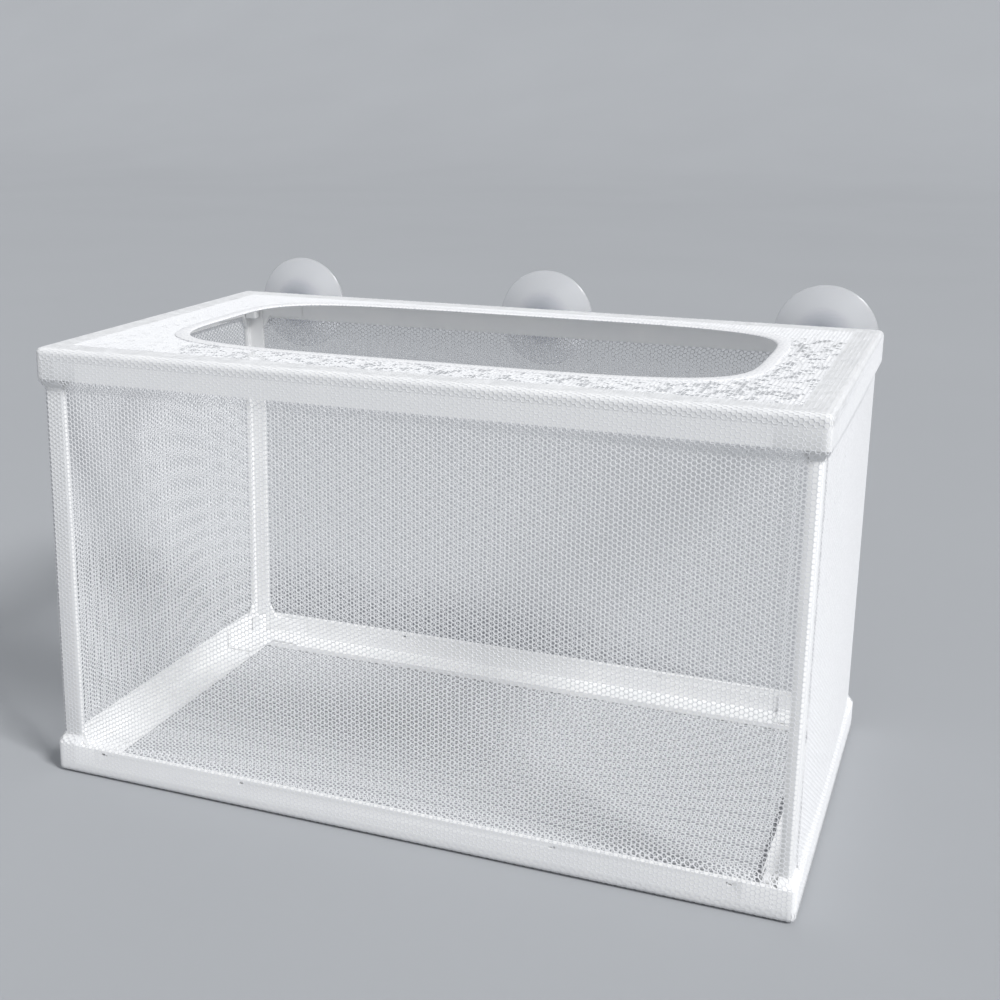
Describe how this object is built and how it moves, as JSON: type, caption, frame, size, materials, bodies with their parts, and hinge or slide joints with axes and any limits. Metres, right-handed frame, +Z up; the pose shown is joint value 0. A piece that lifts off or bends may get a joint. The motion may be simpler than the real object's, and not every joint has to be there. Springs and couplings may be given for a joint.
{
  "type": "fish breeding box",
  "caption": "Rectangular breeding box: fine white net walls, floor and top stretched over a plastic strip frame, with a long rounded opening in the top and suction cups at the back.",
  "frame": {"origin": "underside of the net floor, under the middle of the frame", "axes": "+X along the long side to the right, -Y towards the front, +Y towards the suction cups, +Z up"},
  "size_m": [0.26, 0.1608, 0.1683],
  "materials": {
    "white_plastic": "satin",
    "white_net": "fine knitted mesh",
    "clear_rubber": "clear soft PVC"
  },
  "bodies": {
    "box": {"top_rail_front": "white_plastic", "top_rail_back": "white_plastic", "top_rail_left": "white_plastic", "top_rail_right": "white_plastic", "base_rail_front": "white_plastic", "base_rail_back": "white_plastic", "base_rail_left": "white_plastic", "base_rail_right": "white_plastic", "post_front_left": "white_plastic", "post_front_right": "white_plastic", "post_back_left": "white_plastic", "post_back_right": "white_plastic", "top_corner_front_left": "white_plastic", "top_corner_front_right": "white_plastic", "top_corner_back_left": "white_plastic", "top_corner_back_right": "white_plastic", "base_corner_front_left": "white_plastic", "base_corner_front_right": "white_plastic", "base_corner_back_left": "white_plastic", "base_corner_back_right": "white_plastic", "net_front": "white_net", "net_back": "white_net", "net_left": "white_net", "net_right": "white_net", "net_floor": "white_net", "net_top": "white_net", "opening_hem": "white_net"},
    "cup_left": {"suction_cup_left": "clear_rubber"},
    "cup_middle": {"suction_cup_middle": "clear_rubber"},
    "cup_right": {"suction_cup_right": "clear_rubber"}
  },
  "joints": [
    {"name": "cup_left_turn", "type": "hinge", "parent": "box", "child": "cup_left", "pos_m": [-0.108, 0.0755, 0.1493], "axis": [0, 1, 0], "continuous": true},
    {"name": "cup_middle_turn", "type": "hinge", "parent": "box", "child": "cup_middle", "pos_m": [0, 0.0755, 0.1493], "axis": [0, 1, 0], "continuous": true},
    {"name": "cup_right_turn", "type": "hinge", "parent": "box", "child": "cup_right", "pos_m": [0.108, 0.0755, 0.1493], "axis": [0, 1, 0], "continuous": true}
  ]
}
